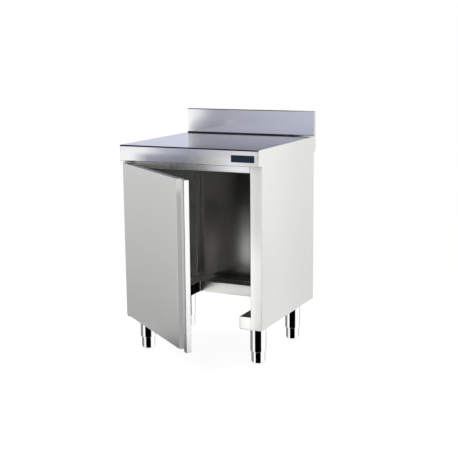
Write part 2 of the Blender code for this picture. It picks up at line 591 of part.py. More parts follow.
def make_catch(pivot):
    """A magnet hidden behind the front of the top rail, its strike plate and two bumpers on the door."""
    catch_right = STILE_X - CATCH_FROM_STILE
    catch_left = catch_right - CATCH_LENGTH
    catch_low = RAIL_BOTTOM_Z + BODY_SHEET + CLEAR
    catch_high = catch_low + CATCH_HEIGHT
    magnet_y = BODY_FRONT_Y + BODY_SHEET + CLEAR
    case_y = magnet_y + POLE_THICKNESS + CLEAR
    block("catch_case", (catch_left, case_y, catch_low), (catch_right, case_y + CATCH_DEPTH, catch_high),
          WHITE_NYLON, CATCH_EDGE)
    middle_x = (catch_left + catch_right) / 2
    middle_z = (catch_low + catch_high) / 2
    block("catch_magnet", (middle_x - POLE_LENGTH / 2, magnet_y, middle_z - POLE_HEIGHT / 2),
          (middle_x + POLE_LENGTH / 2, case_y - CLEAR, middle_z + POLE_HEIGHT / 2),
          DARK_MAGNET, POLE_EDGE)
    strike_x = middle_x - PIVOT_X
    strike_y = DOOR_REAR - DOOR_SHEET
    block("strike_plate", (strike_x - STRIKE_LENGTH / 2, strike_y, middle_z - STRIKE_HEIGHT / 2),
          (strike_x + STRIKE_LENGTH / 2, strike_y + STRIKE_THICKNESS, middle_z + STRIKE_HEIGHT / 2),
          ZINC_STEEL, STRIKE_EDGE, pivot)
    bumper_x = DOOR_RIGHT - DOOR_RETURN + BUMPER_RADIUS
    for name, height in (("upper_door_bumper", DOOR_TOP_Z - BUMPER_FROM_END),
                         ("lower_door_bumper", DOOR_BOTTOM_Z + BUMPER_FROM_END)):
        seat_y = DOOR_REAR + CLEAR
        face_y = DOOR_REAR + DOOR_GAP - CLEAR
        bm = bmesh.new()
        upright = Matrix.Rotation(math.radians(90), 4, "X")
        middle = Matrix.Translation((bumper_x, (seat_y + face_y) / 2, height))
        bmesh.ops.create_cone(bm, cap_ends=True, segments=ROUND_STEPS // 2, radius1=BUMPER_RADIUS,
                              radius2=BUMPER_RADIUS, depth=face_y - seat_y, matrix=middle @ upright)
        add_piece(name, bm, BLACK_RUBBER, pivot)


for old in list(bpy.data.objects):
    bpy.data.objects.remove(old, do_unlink=True)
door_pivot = bpy.data.objects.new("door_pivot", None)
door_pivot.location = (PIVOT_X, PIVOT_Y, 0)
door_pivot.rotation_euler = (0, 0, -DOOR_AJAR)
bpy.context.collection.objects.link(door_pivot)
make_worktop()
make_stiffeners()
make_top_angles()
make_side_panels()
make_front_rail()
make_back_panel()
make_rear_posts()
make_side_channels()
make_rear_channel()
make_legs()
make_hinges()
make_door(door_pivot)
make_catch(door_pivot)
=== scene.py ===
import json
import math

import bmesh
import bpy
from mathutils import Matrix, Vector


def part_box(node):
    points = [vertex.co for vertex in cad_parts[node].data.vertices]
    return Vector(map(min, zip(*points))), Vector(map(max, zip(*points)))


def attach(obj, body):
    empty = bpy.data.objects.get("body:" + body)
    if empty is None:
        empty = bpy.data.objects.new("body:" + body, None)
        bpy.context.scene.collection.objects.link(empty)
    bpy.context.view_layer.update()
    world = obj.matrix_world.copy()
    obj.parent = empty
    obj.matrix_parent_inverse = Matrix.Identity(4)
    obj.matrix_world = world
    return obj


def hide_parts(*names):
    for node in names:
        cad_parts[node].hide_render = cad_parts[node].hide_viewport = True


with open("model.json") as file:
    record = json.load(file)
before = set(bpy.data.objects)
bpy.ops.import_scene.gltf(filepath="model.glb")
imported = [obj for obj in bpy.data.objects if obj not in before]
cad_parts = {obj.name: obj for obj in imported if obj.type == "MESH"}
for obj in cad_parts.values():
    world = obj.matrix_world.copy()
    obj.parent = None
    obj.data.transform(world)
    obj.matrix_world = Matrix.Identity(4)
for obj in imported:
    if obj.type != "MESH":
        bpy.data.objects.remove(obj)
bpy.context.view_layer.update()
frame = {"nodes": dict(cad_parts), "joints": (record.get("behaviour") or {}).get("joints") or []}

# Side panels: satin stainless steel sheet. Each is folded at the front into the door post, with a short
# return beside the opening, and at the rear into a flange that the back panel is riveted to.
SIDES = (("left", -1), ("right", 1))
BODY_SHEET = 0.0012
BODY_BEND = 0.0025
FOLD_STEPS = 8
FOLD_ANGLE = math.radians(10)
CUT_EDGE = 0.0002
CUT_EDGE_STEPS = 2
CUT_ANGLE = math.radians(50)
POST_RETURN = 0.014
REAR_FLANGE = 0.016
SAME_POINT = 0.000001
BODY_COLOUR = (0.84, 0.84, 0.81)
BODY_ROUGHNESS = 0.26
GRAIN_ALONG = 9.0
GRAIN_ACROSS = 1400.0
# A darker colour for the inside faces: painted shade for the inside of the cabinet.
INSIDE_SHADE_COLOUR = (0.22, 0.217, 0.208)
INSIDE_ROUGHNESS = 0.19
ROLLING_MARKS = (1200.0, 1200.0, 10.0)
RELIEF = 0.0001


class Signal:
    """An output socket of a shader tree. Arithmetic adds Math nodes, and node() adds any other node."""

    def __init__(self, socket):
        self.socket = socket

    def node(self, kind, settings, sockets, output=0):
        """A new node: its settings are set first, then the values or links of its sockets."""
        tree = self.socket.id_data
        made = tree.nodes.new("ShaderNode" + kind)
        for name, value in settings.items():
            if name == "stops":
                ramp = made.color_ramp.elements
                while len(ramp) < len(value):
                    ramp.new(1.0)
                for stop, (position, colour) in zip(ramp, value):
                    stop.position = position
                    stop.color = (*colour, 1.0)
            else:
                setattr(made, name, value)
        for name, value in sockets.items():
            if isinstance(value, Signal):
                tree.links.new(value.socket, made.inputs[name])
            else:
                made.inputs[name].default_value = value
        return Signal(made.outputs[output])

    def math(self, operation, first, second):
        return self.node("Math", {"operation": operation}, {0: first, 1: second})

    def __add__(self, other):
        return self.math("ADD", self, other)

    def __radd__(self, other):
        return self.math("ADD", other, self)

    def __sub__(self, other):
        return self.math("SUBTRACT", self, other)

    def __rsub__(self, other):
        return self.math("SUBTRACT", other, self)

    def __mul__(self, other):
        return self.math("MULTIPLY", self, other)

    def __rmul__(self, other):
        return self.math("MULTIPLY", other, self)

    def shades(self, colour, darkest, lightest):
        """A colour between two shares of itself, with this signal as the place between them."""
        low, high = ((*(channel * share for channel in colour), 1.0) for share in (darkest, lightest))
        # A Mix node's colours are its inputs 6 and 7 and its output 2.
        return self.node("Mix", {"data_type": "RGBA"}, {0: self, 6: low, 7: high}, 2)

    def noise(self, scale, detail):
        """Cloudy noise from 0 to 1 on this signal as the place."""
        return self.node("TexNoise", {}, {"Vector": self, "Scale": scale, "Detail": detail})

    def stretched(self, scale):
        """This place drawn out or squeezed along the three axes."""
        return self.node("Mapping", {}, {"Vector": self, "Scale": scale})

    def bump(self, strength):
        """A normal that follows this signal as a height."""
        return self.node("Bump", {}, {"Strength": strength, "Distance": RELIEF, "Height": self})


def new_finish(name, constants, linked):
    """A Principled material. Linked gives, for a place on the piece, the sockets that change over it."""
    finish = bpy.data.materials.new(name)
    finish.use_nodes = True
    tree = finish.node_tree
    shader = tree.nodes["Principled BSDF"]
    for socket, value in constants.items():
        shader.inputs[socket].default_value = value
    place = Signal(tree.nodes.new("ShaderNodeTexCoord").outputs["Object"])
    for socket, signal in linked(place).items():
        tree.links.new(signal.socket, shader.inputs[socket])
    return finish


def brushed_steel(name, colour, roughness, grain_axis):
    """Satin stainless steel: fine streaks along the grain and faint clouds left by wiping."""
    stretch = [GRAIN_ALONG if axis == grain_axis else GRAIN_ACROSS for axis in "XYZ"]

    def linked(place):
        streaks = place.stretched(stretch).noise(scale=1.0, detail=3.0)
        clouds = place.noise(scale=6.0, detail=3.0)
        return {"Base Color": streaks.shades(colour, darkest=0.95, lightest=1.05),
                "Roughness": roughness + 0.08 * (streaks - 0.5) + 0.04 * (clouds - 0.5),
                "Normal": streaks.bump(strength=0.08)}

    return new_finish(name, {"Metallic": 1.0}, linked)


def mill_steel(name, colour, roughness):
    """Sheet as it leaves the mill: dull, faintly mottled and with weak rolling marks."""

    def linked(place):
        rolled = place.stretched(ROLLING_MARKS).noise(scale=1.0, detail=2.0)
        mottle = place.noise(scale=160.0, detail=4.0)
        return {"Base Color": mottle.shades(colour, darkest=0.95, lightest=1.05),
                "Roughness": roughness + 0.03 * (rolled - 0.5) + 0.03 * (mottle - 0.5),
                "Normal": rolled.bump(strength=0.006)}

    return new_finish(name, {"Metallic": 1.0}, linked)


def pull(bm, extruded, reach):
    """Move what an extrusion has made along a vector."""
    far = [item for item in extruded["geom"] if isinstance(item, bmesh.types.BMVert)]
    bmesh.ops.translate(bm, verts=far, vec=reach)


def face_out(bm, outside):
    """Turn a sheet so that its main face on that side looks outside."""
    bmesh.ops.recalc_face_normals(bm, faces=bm.faces)
    bm.normal_update()
    outside = Vector(outside)
    main = max(bm.faces, key=lambda face: abs(face.normal.dot(outside)) * face.calc_area())
    if main.normal.dot(outside) < 0:
        bmesh.ops.reverse_faces(bm, faces=bm.faces)
    bm.normal_update()


def drawn_sheet(points, reach, outside):
    """The outer face of a folded sheet: a line of points drawn out along a vector."""
    bm = bmesh.new()
    corners = [bm.verts.new(point) for point in points]
    line = [bm.edges.new(pair) for pair in zip(corners, corners[1:])]
    pull(bm, bmesh.ops.extrude_edge_only(bm, edges=line), reach)
    face_out(bm, outside)
    return bm


def folds_of(bm):
    """The edges that a sheet is folded along."""
    return [edge for edge in bm.edges if edge.calc_face_angle(0.0) > FOLD_ANGLE]


def round_off(bm, edges, radius, steps=FOLD_STEPS):
    """Round edges, as a press brake does a fold."""
    bmesh.ops.bevel(bm, geom=edges, offset=radius, offset_type="OFFSET", segments=steps, profile=0.5,
                    affect="EDGES", material=-1)


def add_piece(name, bm, finishes, replaced=(), body="cabinet", sheet=0.0, edge=CUT_EDGE):
    """A finished piece on its body. A folded face gets its sheet behind it, in the last of its finishes."""
    mesh = bpy.data.meshes.new(name)
    bm.to_mesh(mesh)
    bm.free()
    mesh.shade_smooth()
    for finish in finishes:
        mesh.materials.append(finish)
    piece = bpy.data.objects.new(name, mesh)
    bpy.context.scene.collection.objects.link(piece)
    if sheet:
        wall = piece.modifiers.new("sheet", "SOLIDIFY")
        wall.thickness = sheet
        wall.offset = -1.0
        wall.use_even_offset = True
        wall.material_offset = len(finishes) - 1
    eased = piece.modifiers.new("eased_edges", "BEVEL")
    eased.width = edge
    eased.segments = CUT_EDGE_STEPS
    eased.limit_method = "ANGLE"
    eased.angle_limit = CUT_ANGLE
    piece.modifiers.new("flat_faces", "WEIGHTED_NORMAL")
    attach(piece, body)
    if replaced:
        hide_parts(*replaced)


side_low, side_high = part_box("right_side_panel")
body_front, body_rear = side_low.y, side_high.y
channel_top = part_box("right_bottom_channel")[1].z
body_steel = brushed_steel("satin_body_steel", BODY_COLOUR, BODY_ROUGHNESS, "Z")
# The inner faces of the sides take a darker steel, which is painted shade for the inside of the cabinet.
shaded_inside_steel = mill_steel("inside_painted_shade_steel", INSIDE_SHADE_COLOUR, INSIDE_ROUGHNESS)
for side_name, side in SIDES:
    plan = [(side_low.x, body_front + POST_RETURN), (side_low.x, body_front), (side_high.x, body_front),
            (side_high.x, body_rear), (side_high.x - REAR_FLANGE, body_rear)]
    panel = drawn_sheet([(side * x, y, side_low.z) for x, y in plan],
                        (0, 0, side_high.z - side_low.z), (side, 0, 0))
    bmesh.ops.bisect_plane(panel, geom=panel.verts[:] + panel.edges[:] + panel.faces[:], dist=SAME_POINT,
                           plane_co=(0, 0, channel_top), plane_no=(0, 0, 1))
    beside_channel = [face for face in panel.faces
                      if abs(abs(face.calc_center_median().x) - side_low.x) < SAME_POINT
                      and face.calc_center_median().z < channel_top]
    bmesh.ops.delete(panel, geom=beside_channel, context="FACES")
    round_off(panel, folds_of(panel), BODY_BEND)
    add_piece(side_name + "_side", panel, [body_steel, shaded_inside_steel],
              [side_name + "_side_panel"], sheet=BODY_SHEET)

# Bottom channels: the same sheet folded into boxes that carry the legs. The two side channels close flush
# with the door posts at the front, and the third lies across the back between them.
FIT_GAP = 0.0003
SQUARE_ON = 0.9


def drawn_block(points, reach):
    """A closed block: a face through the points, drawn out along a vector."""
    bm = bmesh.new()
    base = bm.faces.new([bm.verts.new(point) for point in points])
    pull(bm, bmesh.ops.extrude_face_region(bm, geom=[base], use_keep_orig=True), reach)
    bmesh.ops.recalc_face_normals(bm, faces=bm.faces)
    bm.normal_update()
    return bm


def add_cross_channel(name, finishes, node):
    """A channel that lies across the cabinet and is open at its back."""
    low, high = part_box(node)
    section = [(high.y, high.z), (low.y, high.z), (low.y, low.z), (high.y, low.z)]
    channel = drawn_sheet([(low.x, y, z) for y, z in section], (high.x - low.x, 0, 0), (0, -1, 0))
    round_off(channel, folds_of(channel), BODY_BEND)
    add_piece(name, channel, finishes, [node], sheet=BODY_SHEET)


low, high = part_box("right_bottom_channel")
post_x = side_low.x - FIT_GAP
behind_post = body_front + BODY_BEND
for side_name, side in SIDES:
    plan = [(low.x, low.y), (post_x, low.y), (post_x, behind_post), (high.x, behind_post),
            (high.x, high.y), (low.x, high.y)]
    channel = drawn_block([(side * x, y, low.z) for x, y in plan], (0, 0, high.z - low.z))
    open_sides = [face for face in channel.faces if abs(face.normal.z) < SQUARE_ON
                  and abs(face.calc_center_median().y - low.y) > SAME_POINT
                  and abs(abs(face.calc_center_median().x) - low.x) > SAME_POINT]
    bmesh.ops.delete(channel, geom=open_sides, context="FACES")
    round_off(channel, folds_of(channel), BODY_BEND)
    add_piece(side_name + "_channel", channel, [body_steel], [side_name + "_bottom_channel"],
              sheet=BODY_SHEET)
add_cross_channel("rear_channel", [body_steel], "rear_bottom_channel")

# Back panel and rear posts: the inside of the body, in dull mill-finish sheet whose darker colour is painted
# shade for the inside of the cabinet. The posts stand on the channels, and the panel is a plain sheet with
# its top edge folded forwards under the worktop.
BACK_FLANGE = 0.018
POST_FLANGE = 0.036
low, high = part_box("right_rear_post")
for side_name, side in SIDES:
    plan = [(low.x + POST_FLANGE, high.y), (low.x, high.y), (low.x, low.y), (high.x, low.y)]
    post = drawn_sheet([(side * x, y, low.z) for x, y in plan], (0, 0, high.z - low.z), (0, -1, 0))
    round_off(post, folds_of(post), BODY_BEND)
    add_piece(side_name + "_post", post, [shaded_inside_steel], [side_name + "_rear_post"],
              sheet=BODY_SHEET)
low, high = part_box("back_panel")
section = [(high.y, low.z), (high.y, high.z), (high.y - BACK_FLANGE, high.z)]
panel = drawn_sheet([(low.x, y, z) for y, z in section], (high.x - low.x, 0, 0), (0, 1, 0))
round_off(panel, folds_of(panel), BODY_BEND)
add_piece("back", panel, [body_steel, shaded_inside_steel], ["back_panel"], sheet=BODY_SHEET)

# Rivets: blind aluminium rivets in a row down each rear flange, which hold the back panel to the sides. Only
# their low domed heads show.
RIVET_RADIUS = 0.0036
RIVET_HEIGHT = 0.0011
RIVET_LOWEST = 0.19
RIVET_HIGHEST = 0.76
RIVETS_IN_ROW = 5
HEAD_STEPS = 24
RIVET_COLOUR = (0.66, 0.66, 0.65)
RIVET_ROUGHNESS = 0.30


def domed_heads(places, radius, height, turn):
    """Low round heads at the places, all turned one way from facing up."""
    bm = bmesh.new()
    shape = turn @ Matrix.Diagonal((radius, radius, height, 1))
    for place in places:
        bmesh.ops.create_uvsphere(bm, u_segments=HEAD_STEPS, v_segments=HEAD_STEPS // 2, radius=1.0,
                                  matrix=Matrix.Translation(place) @ shape)
    return bm


facing_back = Matrix.Rotation(math.radians(-90), 4, "X")
rivet_step = (RIVET_HIGHEST - RIVET_LOWEST) / (RIVETS_IN_ROW - 1)
rivet_x = side_high.x - REAR_FLANGE / 2
rivet_places = [(side * rivet_x, body_rear, RIVET_LOWEST + rivet_step * step)
                for side_name, side in SIDES for step in range(RIVETS_IN_ROW)]
rivet_metal = mill_steel("rivet_aluminium", RIVET_COLOUR, RIVET_ROUGHNESS)
add_piece("back_rivets", domed_heads(rivet_places, RIVET_RADIUS, RIVET_HEIGHT, facing_back), [rivet_metal])

# Front rail: a channel of the body's sheet, folded and welded in between the door posts. It carries the
# catch, and a strip of it shows under the worktop's front edge.
# Its inner face takes the darker steel that is painted shade for the inside of the cabinet.
add_cross_channel("front_rail", [body_steel, shaded_inside_steel], "front_top_rail")

# Worktop: one thicker brushed sheet bent into the front edge, the top and the upstand, with flat ends welded
# on and ground flush. A hem along the bottom of the front edge stiffens it.
TOP_SHEET = 0.0015
TOP_BEND = 0.006
CREST_BEND = 0.003
TOP_LEVEL = 0.858
UPSTAND_THICKNESS = 0.018
HEM_DEPTH = 0.024
HEM_BEND = 0.004
TOP_COLOUR = (0.80, 0.80, 0.81)
TOP_ROUGHNESS = 0.11


def runs_along(edge, axis):
    """True if an edge of a square block runs along that axis."""
    along = "XYZ".index(axis)
    return abs(edge.verts[0].co[along] - edge.verts[1].co[along]) > SAME_POINT


low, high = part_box("worktop")
worktop_front = low.y
upstand_front = high.y - UPSTAND_THICKNESS
section = [(low.y, low.z), (low.y, TOP_LEVEL), (upstand_front, TOP_LEVEL), (upstand_front, high.z),
           (high.y, high.z), (high.y, low.z)]
worktop = drawn_block([(low.x, y, z) for y, z in section], (high.x - low.x, 0, 0))
underside = [face for face in worktop.faces if face.normal.z < -SQUARE_ON]
bmesh.ops.delete(worktop, geom=underside, context="FACES_ONLY")
bends = [edge for edge in folds_of(worktop) if runs_along(edge, "X")]
crest = [edge for edge in bends if edge.verts[0].co.z > high.z - SAME_POINT]
wide_bends = [edge for edge in bends if edge not in crest]
round_off(worktop, wide_bends, TOP_BEND)
round_off(worktop, crest, CREST_BEND)
front_foot = Vector((low.y, low.z))
hem = next(edge for edge in worktop.edges
           if all((vert.co.yz - front_foot).length < SAME_POINT for vert in edge.verts))
pull(worktop, bmesh.ops.extrude_edge_only(worktop, edges=[hem]), (0, HEM_DEPTH, 0))
round_off(worktop, [hem], HEM_BEND)
face_out(worktop, (0, 0, 1))
for face in worktop.faces:
    face.material_index = 1 if abs(face.normal.x) > SQUARE_ON else 0
top_steel = brushed_steel("brushed_worktop_steel", TOP_COLOUR, TOP_ROUGHNESS, "X")
add_piece("top", worktop, [top_steel, body_steel], ["worktop"], sheet=TOP_SHEET)

# Stiffeners and angles under the worktop, and the plates and nuts inside the bottom channels: plain sheet and
# zinc plated fixings that are seen only from below.
PLAIN_COLOUR = (0.50, 0.50, 0.50)
PLAIN_ROUGHNESS = 0.40
ZINC_COLOUR = (0.56, 0.57, 0.55)
ZINC_ROUGHNESS = 0.36


def finish_nodes(finish, *names):
    """Give a finish to solids that keep the shape they have."""
    for name in names:
        frame["nodes"][name].data.materials[0] = finish


plain_steel = mill_steel("plain_mill_steel", PLAIN_COLOUR, PLAIN_ROUGHNESS)
zinc = mill_steel("zinc_plate", ZINC_COLOUR, ZINC_ROUGHNESS)
finish_nodes(plain_steel, "front_stiffener", "rear_stiffener", "left_top_angle", "right_top_angle")
corner_names = [end_name + "_" + side_name
                for end_name in ("front", "rear") for side_name, side in SIDES]
for corner in corner_names:
    finish_nodes(zinc, corner + "_leg_plate", corner + "_leg_nut")

# Name plate: a thin enamelled metal plate stuck to the worktop's front edge near its right end. It is bare,
# with a narrow raised rim.
PLATE_LEFT = 0.1860
PLATE_RIGHT = 0.2816
PLATE_TOP = 0.837
PLATE_BOTTOM = 0.810
PLATE_THICKNESS = 0.0010
PLATE_CORNER = 0.0015
PLATE_CORNER_STEPS = 4
PLATE_RIM = 0.0012
PLATE_SUNK = 0.0002
PLATE_EDGE = 0.0001
PLATE_COLOUR = (0.012, 0.028, 0.055)
PLATE_ROUGHNESS = 0.35


def enamel(name, colour, roughness):
    """Dark stove enamel with a soft gloss and a faint orange peel."""

    def linked(place):
        peel = place.noise(scale=900.0, detail=2.0)
        shade = place.noise(scale=40.0, detail=2.0)
        return {"Base Color": shade.shades(colour, darkest=0.85, lightest=1.15),
                "Roughness": roughness + 0.10 * (shade - 0.5),
                "Normal": peel.bump(strength=0.05)}

    return new_finish(name, {"Specular IOR Level": 0.2}, linked)


plate = bmesh.new()
bmesh.ops.create_cube(plate, size=1.0)
bmesh.ops.scale(plate, verts=plate.verts,
                vec=(PLATE_RIGHT - PLATE_LEFT, PLATE_THICKNESS, PLATE_TOP - PLATE_BOTTOM))
bmesh.ops.translate(plate, verts=plate.verts,
                    vec=((PLATE_LEFT + PLATE_RIGHT) / 2, worktop_front - PLATE_THICKNESS / 2,
                         (PLATE_TOP + PLATE_BOTTOM) / 2))
corners = [edge for edge in plate.edges if runs_along(edge, "Y")]
round_off(plate, corners, PLATE_CORNER, PLATE_CORNER_STEPS)
plate.normal_update()
shown = [face for face in plate.faces if face.normal.y < -SQUARE_ON]
bmesh.ops.inset_region(plate, faces=shown, thickness=PLATE_RIM, depth=-PLATE_SUNK, use_even_offset=True)
navy_enamel = enamel("navy_enamel", PLATE_COLOUR, PLATE_ROUGHNESS)
add_piece("name_plate", plate, [navy_enamel], edge=PLATE_EDGE)

# Legs: polished stainless tubes. A wide sleeve is bolted under the channel, a slimmer foot slides in it on a
# nylon guide to level the cabinet, and its closed end is rounded off.
ROUND_STEPS = 96
SLEEVE_WALL = 0.0015
SLEEVE_CHAMFER = 0.0008
FOOT_WALL = 0.002
FOOT_FLOOR = 0.004
FOOT_EDGE = 0.0025
FOOT_EDGE_STEPS = 6
POLISH_COLOUR = (0.90, 0.90, 0.91)
POLISH_ROUGHNESS = 0.065
TURNING_RINGS = (20.0, 20.0, 2500.0)
GUIDE_COLOUR = (0.16, 0.16, 0.17)
GUIDE_ROUGHNESS = 0.5


def turned(profile, centre):
    """Turn a profile of (radius, height) round an upright axis. It runs from axis to axis, or is a ring."""
    bm = bmesh.new()
    points = [bm.verts.new((radius, 0.0, height)) for radius, height in profile]
    pairs = list(zip(points, points[1:]))
    if min(radius for radius, height in profile) > 0:
        pairs.append((points[-1], points[0]))
    edges = [bm.edges.new(pair) for pair in pairs]
    bmesh.ops.spin(bm, geom=points + edges, cent=(0, 0, 0), axis=(0, 0, 1), angle=math.tau, steps=ROUND_STEPS,
                   use_merge=True)
    bmesh.ops.remove_doubles(bm, verts=bm.verts, dist=SAME_POINT)
    bmesh.ops.recalc_face_normals(bm, faces=bm.faces)
    bmesh.ops.translate(bm, verts=bm.verts, vec=centre)
    return bm


def polished_steel(name, colour, roughness):
    """Mirror polished tube with hair-fine turning rings."""

    def linked(place):
        rings = place.stretched(TURNING_RINGS).noise(scale=1.0, detail=2.0)
        haze = place.noise(scale=30.0, detail=3.0)
        return {"Base Color": haze.shades(colour, darkest=0.96, lightest=1.03),
                "Roughness": roughness + 0.03 * (rings - 0.5) + 0.02 * (haze - 0.5),
                "Normal": rings.bump(strength=0.02)}

    return new_finish(name, {"Metallic": 1.0}, linked)


def moulded(name, colour, roughness):
    """Moulded nylon or rubber: an even colour with a fine matt texture."""

    def linked(place):
        skin = place.noise(scale=1500.0, detail=3.0)
        shade = place.noise(scale=60.0, detail=2.0)
        return {"Base Color": shade.shades(colour, darkest=0.9, lightest=1.1),
                "Roughness": roughness + 0.1 * (skin - 0.5),
                "Normal": skin.bump(strength=0.12)}

    return new_finish(name, {}, linked)


leg_steel = polished_steel("polished_leg_steel", POLISH_COLOUR, POLISH_ROUGHNESS)
grey_nylon = moulded("grey_nylon", GUIDE_COLOUR, GUIDE_ROUGHNESS)
for corner in corner_names:
    foot_low, foot_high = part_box(corner + "_foot")
    foot_radius = (foot_high.x - foot_low.x) / 2
    low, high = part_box(corner + "_leg_sleeve")
    axis = ((low.x + high.x) / 2, (low.y + high.y) / 2, 0)
    radius = (high.x - low.x) / 2
    bore = radius - SLEEVE_WALL
    seat = side_low.z - FIT_GAP
    cap = foot_high.z + FIT_GAP
    sleeve = [(0, seat), (radius, seat), (radius, low.z + SLEEVE_CHAMFER), (radius - SLEEVE_CHAMFER, low.z),
              (bore, low.z), (bore, cap), (0, cap)]
    add_piece(corner + "_sleeve", turned(sleeve, axis), [leg_steel],
              [corner + "_leg_sleeve"])
    low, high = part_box(corner + "_leg_guide")
    outer = (high.x - low.x) / 2
    inner = foot_radius + FIT_GAP
    guide = [(outer, low.z), (inner, low.z), (inner, high.z), (outer, high.z)]
    add_piece(corner + "_guide", turned(guide, axis), [grey_nylon], [corner + "_leg_guide"])
    turns = [math.radians(90) * step / FOOT_EDGE_STEPS for step in range(FOOT_EDGE_STEPS + 1)]
    rounding = [(foot_radius - FOOT_EDGE * (1 - math.sin(turn)),
                 foot_low.z + FOOT_EDGE * (1 - math.cos(turn))) for turn in turns]
    foot_bore = foot_radius - FOOT_WALL
    foot = [(0, foot_low.z), *rounding, (foot_radius, foot_high.z), (foot_bore, foot_high.z),
            (foot_bore, foot_low.z + FOOT_FLOOR), (0, foot_low.z + FOOT_FLOOR)]
    add_piece(corner + "_tube_foot", turned(foot, axis), [leg_steel], [corner + "_foot"],
              body=corner + "_leveller")

# Hinge brackets: thick zinc plated angles screwed to the left door post, with a tongue over and under the
# door that holds a pivot pin. The pins turn in white nylon bushes in the door's caps.
BUSH_COLOUR = (0.78, 0.78, 0.76)
BUSH_ROUGHNESS = 0.45
white_nylon = moulded("white_nylon", BUSH_COLOUR, BUSH_ROUGHNESS)
finish_nodes(zinc, "upper_hinge_bracket", "lower_hinge_bracket")
finish_nodes(leg_steel, "upper_hinge_pin", "lower_hinge_pin")
finish_nodes(white_nylon, "door_upper_bush", "door_lower_bush")

# Bracket screws: two zinc plated screws in the upright plate of each hinge bracket, driven into the door
# post. Their heads are nearly flush, so that the door clears them.
BRACKET_SHEET = 0.0025
SCREW_RADIUS = 0.0030
SCREW_HEIGHT = 0.0002
SCREW_FROM_SIDE = 0.0075
SCREWS_FROM_END = (0.010, 0.026)
facing_front = Matrix.Rotation(math.radians(90), 4, "X")
for bracket_name, plate_end, inward in (("upper", 0, 1), ("lower", 1, -1)):
    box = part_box(bracket_name + "_hinge_bracket")
    plate_face = box[1].y - BRACKET_SHEET
    screw_places = [(box[1].x - SCREW_FROM_SIDE, plate_face, box[plate_end].z + inward * away)
                    for away in SCREWS_FROM_END]
    add_piece(bracket_name + "_bracket_screws",
              domed_heads(screw_places, SCREW_RADIUS, SCREW_HEIGHT, facing_front), [zinc])

# Door: an outer skin of satin sheet folded round all its edges, with a full-height finger grip bent into the
# front beside the free edge. A flat inner skin, two caps and a board core close and stiffen it.
DOOR_SHEET = 0.0010
DOOR_BEND = 0.0020
DOOR_THICKNESS = 0.023
DOOR_RETURN = 0.014
DOOR_WIDTH = 0.587
PIVOT_INSET = 0.0095
PIVOT_DEPTH = 0.0115
GRIP_WIDTH = 0.041
GRIP_DEPTH = 0.014
GRIP_SLOPE = 0.015
LIP_WIDTH = 0.020
LIP_SET_BACK = 0.002
DOOR_COLOUR = (0.74, 0.74, 0.73)
DOOR_ROUGHNESS = 0.34
CORE_COLOUR = (0.45, 0.33, 0.20)
CORE_ROUGHNESS = 0.85
hinge = next(joint for joint in frame["joints"] if joint["name"] == "door_hinge")
door_ajar = math.radians(-hinge["range_deg"][0])
door_place = (Matrix.Translation((hinge["pos_m"][0], hinge["pos_m"][1], 0))
              @ Matrix.Rotation(-door_ajar, 4, "Z"))
low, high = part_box("door_outer_skin")
door_left = -PIVOT_INSET
door_right = DOOR_WIDTH - PIVOT_INSET
door_front = -PIVOT_DEPTH
door_rear = DOOR_THICKNESS - PIVOT_DEPTH
lip_left = door_right - LIP_WIDTH
lip_front = door_front + LIP_SET_BACK
grip_left = lip_left - GRIP_WIDTH
grip_floor = door_front + GRIP_DEPTH
door_plan = [(door_left + DOOR_RETURN, door_rear), (door_left, door_rear), (door_left, door_front),
             (grip_left, door_front), (grip_left + GRIP_SLOPE, grip_floor), (lip_left, grip_floor),
             (lip_left, lip_front), (door_right, lip_front), (door_right, door_rear),
             (door_right - DOOR_RETURN, door_rear)]
skin = drawn_sheet([(x, y, low.z) for x, y in door_plan], (0, 0, high.z - low.z), (0, -1, 0))
round_off(skin, folds_of(skin), DOOR_BEND)
bmesh.ops.transform(skin, matrix=door_place, verts=skin.verts)
door_steel = brushed_steel("satin_door_steel", DOOR_COLOUR, DOOR_ROUGHNESS, "Z")
add_piece("door_skin", skin, [door_steel], ["door_outer_skin"], body="door", sheet=DOOR_SHEET)
finish_nodes(door_steel, "door_inner_skin", "door_top_cap", "door_bottom_cap")
finish_nodes(moulded("core_board", CORE_COLOUR, CORE_ROUGHNESS), "door_core")

# Catch: a magnet in a white nylon case behind the face of the front rail, which pulls on a zinc plated strike
# plate on the door's inner skin. Two rubber bumpers near the free edge take the knock.
FERRITE_COLOUR = (0.05, 0.05, 0.055)
FERRITE_ROUGHNESS = 0.5
RUBBER_COLOUR = (0.02, 0.02, 0.02)
RUBBER_ROUGHNESS = 0.75
finish_nodes(white_nylon, "catch_case")
finish_nodes(moulded("ferrite", FERRITE_COLOUR, FERRITE_ROUGHNESS), "catch_magnet")
finish_nodes(zinc, "strike_plate")
black_rubber = moulded("black_rubber", RUBBER_COLOUR, RUBBER_ROUGHNESS)
finish_nodes(black_rubber, "upper_door_bumper", "lower_door_bumper")

# Strike screws: two zinc plated screws that hold the strike plate to the door's inner skin and move with the
# door. Their heads are low, so that the magnet still meets the plate.
STRIKE_PROUD = 0.0005
STRIKE_SCREW_RADIUS = 0.0026
STRIKE_SCREW_HEIGHT = 0.0004
STRIKE_SCREW_SPREAD = 0.013
strike_low, strike_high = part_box("strike_plate")
strike_middle = door_place.inverted() @ ((strike_low + strike_high) / 2)
strike_places = [(strike_middle.x + along, door_rear + STRIKE_PROUD, strike_middle.z)
                 for along in (-STRIKE_SCREW_SPREAD, STRIKE_SCREW_SPREAD)]
strike_screws = domed_heads(strike_places, STRIKE_SCREW_RADIUS, STRIKE_SCREW_HEIGHT, facing_back)
bmesh.ops.transform(strike_screws, matrix=door_place, verts=strike_screws.verts)
add_piece("strike_screws", strike_screws, [zinc], body="door")

